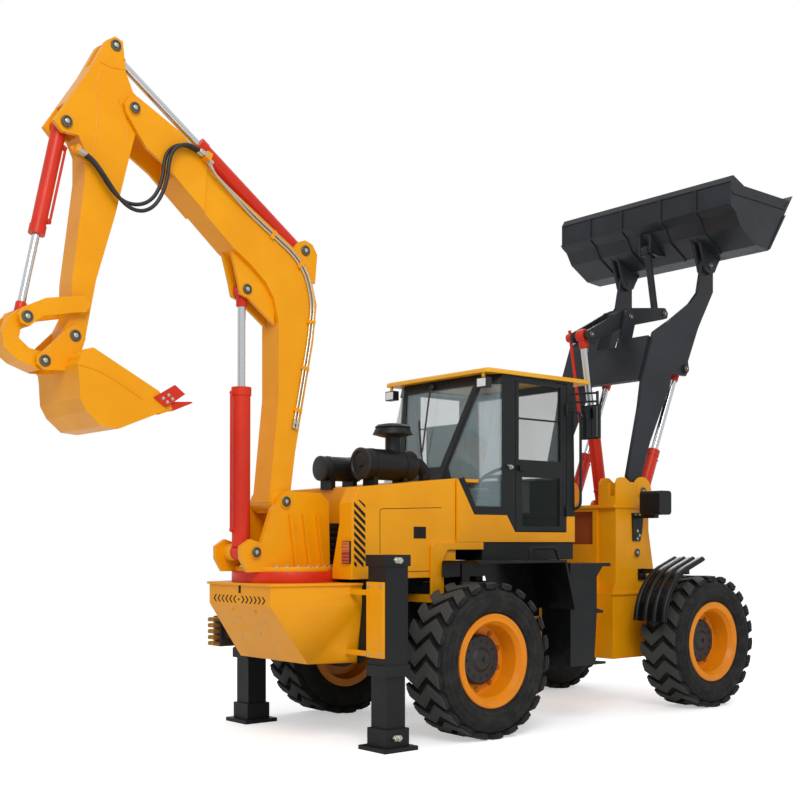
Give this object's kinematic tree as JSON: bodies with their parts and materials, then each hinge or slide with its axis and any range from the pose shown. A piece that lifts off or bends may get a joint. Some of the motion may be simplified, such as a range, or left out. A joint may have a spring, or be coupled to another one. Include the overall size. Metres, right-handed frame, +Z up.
{
  "type": "articulated backhoe loader",
  "caption": "Articulated wheeled backhoe loader with raised front bucket, glazed cab, slewing digging arm and two vertical stabiliser legs.",
  "frame": {"origin": "on the ground below the middle of the overall length and width", "axes": "+X forwards, +Y to the left, +Z up"},
  "size_m": [7.359, 2.1902, 4.81],
  "materials": {
    "yellow_paint": "gloss",
    "roof_paint": "gloss",
    "red_paint": "gloss",
    "dark_grey_paint": "satin",
    "black_paint": "satin",
    "rim_paint": "gloss",
    "chrome_rod": "polished",
    "tyre": "matte",
    "tinted_glass": "polished",
    "vinyl": "matte",
    "cast": "matte",
    "hose_rubber": "satin"
  },
  "bodies": {
    "rear_machine": {"chassis": "black_paint", "engine_block": "cast", "hood": "yellow_paint", "radiator_grille": "black_paint", "cab_frame": "black_paint", "cab_sill": "yellow_paint", "cab_roof": "roof_paint", "cab_glass": "tinted_glass", "seat": "vinyl", "controls": "vinyl", "rear_axle": "cast", "rear_fenders": "black_paint", "hood_arches": "yellow_paint", "air_cleaner": "black_paint", "base_box": "yellow_paint", "slew_ring": "red_paint", "stabiliser_housings": "black_paint", "work_lamps": "black_paint", "valve_block": "black_paint"},
    "front_machine": {"front_frame": "yellow_paint", "tower_columns": "yellow_paint", "front_axle": "cast", "front_fenders": "black_paint", "headlights": "black_paint"},
    "arms": {"loader_arms": "dark_grey_paint"},
    "lift_tubes": {"lift_barrels": "red_paint"},
    "lift_pistons": {"lift_rods": "chrome_rod"},
    "tilt_tube": {"tilt_barrel": "red_paint"},
    "tilt_piston": {"tilt_rod": "chrome_rod"},
    "crank": {"bell_crank": "red_paint"},
    "crank_link": {"bucket_link": "red_paint"},
    "front_bucket": {"loader_bucket": "dark_grey_paint"},
    "right_door": {"door_right": "black_paint", "door_right_glass": "tinted_glass"},
    "left_door": {"door_left": "black_paint", "door_left_glass": "tinted_glass"},
    "slewing_bracket": {"slew_bracket": "yellow_paint"},
    "boom_arm": {"boom": "yellow_paint"},
    "boom_tube": {"boom_barrel": "red_paint"},
    "boom_piston": {"boom_rod": "chrome_rod"},
    "dipper": {"stick": "yellow_paint", "hose_upper": "hose_rubber", "hose_lower": "hose_rubber"},
    "dipper_tube": {"stick_barrel": "red_paint"},
    "dipper_piston": {"stick_rod": "chrome_rod"},
    "scoop_tube": {"bucket_barrel": "red_paint"},
    "scoop_piston": {"bucket_rod": "chrome_rod"},
    "tipping_rocker": {"rocker": "yellow_paint"},
    "tipping_link": {"dig_link": "yellow_paint"},
    "scoop": {"dig_bucket": "yellow_paint"},
    "right_leg": {"stabiliser_leg_right": "yellow_paint"},
    "left_leg": {"stabiliser_leg_left": "yellow_paint"},
    "wheel_rear_right": {"tyre_rear_right": "tyre", "rim_rear_right": "rim_paint"},
    "wheel_rear_left": {"tyre_rear_left": "tyre", "rim_rear_left": "rim_paint"},
    "wheel_front_right": {"tyre_front_right": "tyre", "rim_front_right": "rim_paint"},
    "wheel_front_left": {"tyre_front_left": "tyre", "rim_front_left": "rim_paint"}
  },
  "joints": [
    {"name": "articulation", "type": "hinge", "parent": "rear_machine", "child": "front_machine", "pos_m": [1.002, 0, 0.78], "axis": [0, 0, 1], "range_deg": [-35, 35]},
    {"name": "spin_rear_right", "type": "hinge", "parent": "rear_machine", "child": "wheel_rear_right", "pos_m": [-0.3545, -0.89, 0.58], "axis": [0, 1, 0], "continuous": true},
    {"name": "spin_rear_left", "type": "hinge", "parent": "rear_machine", "child": "wheel_rear_left", "pos_m": [-0.3545, 0.89, 0.58], "axis": [0, 1, 0], "continuous": true},
    {"name": "spin_front_right", "type": "hinge", "parent": "front_machine", "child": "wheel_front_right", "pos_m": [2.3585, -0.89, 0.58], "axis": [0, 1, 0], "continuous": true},
    {"name": "spin_front_left", "type": "hinge", "parent": "front_machine", "child": "wheel_front_left", "pos_m": [2.3585, 0.89, 0.58], "axis": [0, 1, 0], "continuous": true},
    {"name": "arm_lift", "type": "hinge", "parent": "front_machine", "child": "arms", "pos_m": [2.0325, 0, 1.917], "axis": [0, -1, 0], "range_deg": [-102, 1]},
    {"name": "lift_tube_swing", "type": "hinge", "parent": "front_machine", "child": "lift_tubes", "pos_m": [1.9455, 0, 1.365], "axis": [0, -1, 0], "range_deg": [-81, 1.5]},
    {"name": "lift_piston_slide", "type": "slide", "parent": "lift_tubes", "child": "lift_pistons", "axis": [0.3952, 0, 0.9186], "range_m": [-0.68, 0.02]},
    {"name": "tilt_tube_swing", "type": "hinge", "parent": "front_machine", "child": "tilt_tube", "pos_m": [2.1055, 0, 1.8], "axis": [0, -1, 0], "range_deg": [-101, 2]},
    {"name": "tilt_piston_slide", "type": "slide", "parent": "tilt_tube", "child": "tilt_piston", "axis": [-0.1727, 0, 0.985], "range_m": [-0.22, 0.12]},
    {"name": "crank_turn", "type": "hinge", "parent": "arms", "child": "crank", "pos_m": [2.3425, 0, 3.587], "axis": [0, 1, 0], "range_deg": [-24, 12.5]},
    {"name": "crank_link_turn", "type": "hinge", "parent": "crank", "child": "crank_link", "pos_m": [2.8975, 0, 3.69], "axis": [0, 1, 0], "range_deg": [-32, 61.5]},
    {"name": "bucket_tilt", "type": "hinge", "parent": "arms", "child": "front_bucket", "pos_m": [3.0365, 0, 4.102], "axis": [0, 1, 0], "range_deg": [-42, 82]},
    {"name": "door_right_swing", "type": "hinge", "parent": "rear_machine", "child": "right_door", "pos_m": [0.9175, -0.628, 2.16], "axis": [0, 0, 1], "range_deg": [0, 100]},
    {"name": "door_left_swing", "type": "hinge", "parent": "rear_machine", "child": "left_door", "pos_m": [0.9175, 0.628, 2.16], "axis": [0, 0, -1], "range_deg": [0, 100]},
    {"name": "slew", "type": "hinge", "parent": "rear_machine", "child": "slewing_bracket", "pos_m": [-1.4905, 0, 1.2], "axis": [0, 0, 1], "range_deg": [-80, 80]},
    {"name": "boom_lift", "type": "hinge", "parent": "slewing_bracket", "child": "boom_arm", "pos_m": [-1.6205, 0, 1.753], "axis": [0, 1, 0], "range_deg": [-72, 4]},
    {"name": "boom_tube_swing", "type": "hinge", "parent": "slewing_bracket", "child": "boom_tube", "pos_m": [-1.8765, 0, 1.386], "axis": [0, 1, 0], "range_deg": [-64, 4]},
    {"name": "boom_piston_slide", "type": "slide", "parent": "boom_tube", "child": "boom_piston", "axis": [0.0032, 0, 1], "range_m": [-0.475, 0.03]},
    {"name": "dipper_swing", "type": "hinge", "parent": "boom_arm", "child": "dipper", "pos_m": [-2.7945, 0, 4.352], "axis": [0, -1, 0], "range_deg": [-108, 3]},
    {"name": "dipper_tube_swing", "type": "hinge", "parent": "boom_arm", "child": "dipper_tube", "pos_m": [-1.3695, 0, 3.634], "axis": [0, -1, 0], "range_deg": [-4.5, 0.5]},
    {"name": "dipper_piston_slide", "type": "slide", "parent": "dipper_tube", "child": "dipper_piston", "axis": [-0.8099, 0, 0.5865], "range_m": [-0.68, 0.025]},
    {"name": "scoop_curl", "type": "hinge", "parent": "dipper", "child": "scoop", "pos_m": [-3.2085, 0, 2.79], "axis": [0, -1, 0], "range_deg": [-100, 30]},
    {"name": "rocker_turn", "type": "hinge", "parent": "dipper", "child": "tipping_rocker", "pos_m": [-3.1705, 0, 2.993], "axis": [0, -1, 0], "range_deg": [-76, 23.5]},
    {"name": "tipping_link_turn", "type": "hinge", "parent": "tipping_rocker", "child": "tipping_link", "pos_m": [-3.5395, 0, 2.87], "axis": [0, -1, 0], "range_deg": [-15.5, 50]},
    {"name": "scoop_tube_swing", "type": "hinge", "parent": "dipper", "child": "scoop_tube", "pos_m": [-3.2585, 0, 4.166], "axis": [0, -1, 0], "range_deg": [-3, 1]},
    {"name": "scoop_piston_slide", "type": "slide", "parent": "scoop_tube", "child": "scoop_piston", "axis": [-0.2119, 0, -0.9773], "range_m": [-0.47, 0.145]},
    {"name": "right_leg_slide", "type": "slide", "parent": "rear_machine", "child": "right_leg", "axis": [0, 0, 1], "range_m": [0, 0.35]},
    {"name": "left_leg_slide", "type": "slide", "parent": "rear_machine", "child": "left_leg", "axis": [0, 0, 1], "range_m": [0, 0.35]}
  ],
  "couplings": [
    {"joint": "lift_tube_swing", "follows": "arm_lift", "ratio": 0.783},
    {"joint": "lift_piston_slide", "follows": "arm_lift", "m_per_rad": 0.3749},
    {"joint": "tilt_tube_swing", "follows": "arm_lift", "ratio": 0.975},
    {"joint": "tilt_piston_slide", "follows": "bucket_tilt", "m_per_rad": -0.1443},
    {"joint": "crank_turn", "follows": "bucket_tilt", "ratio": -0.2768},
    {"joint": "crank_link_turn", "follows": "bucket_tilt", "ratio": 0.7397},
    {"joint": "boom_tube_swing", "follows": "boom_lift", "ratio": 0.8782},
    {"joint": "boom_piston_slide", "follows": "boom_lift", "m_per_rad": 0.3707},
    {"joint": "dipper_tube_swing", "follows": "dipper_swing", "ratio": 0.0377},
    {"joint": "dipper_piston_slide", "follows": "dipper_swing", "m_per_rad": 0.355},
    {"joint": "rocker_turn", "follows": "scoop_curl", "ratio": 0.7493},
    {"joint": "tipping_link_turn", "follows": "scoop_curl", "ratio": -0.49},
    {"joint": "scoop_tube_swing", "follows": "scoop_curl", "ratio": 0.0211},
    {"joint": "scoop_piston_slide", "follows": "scoop_curl", "m_per_rad": 0.2625}
  ]
}
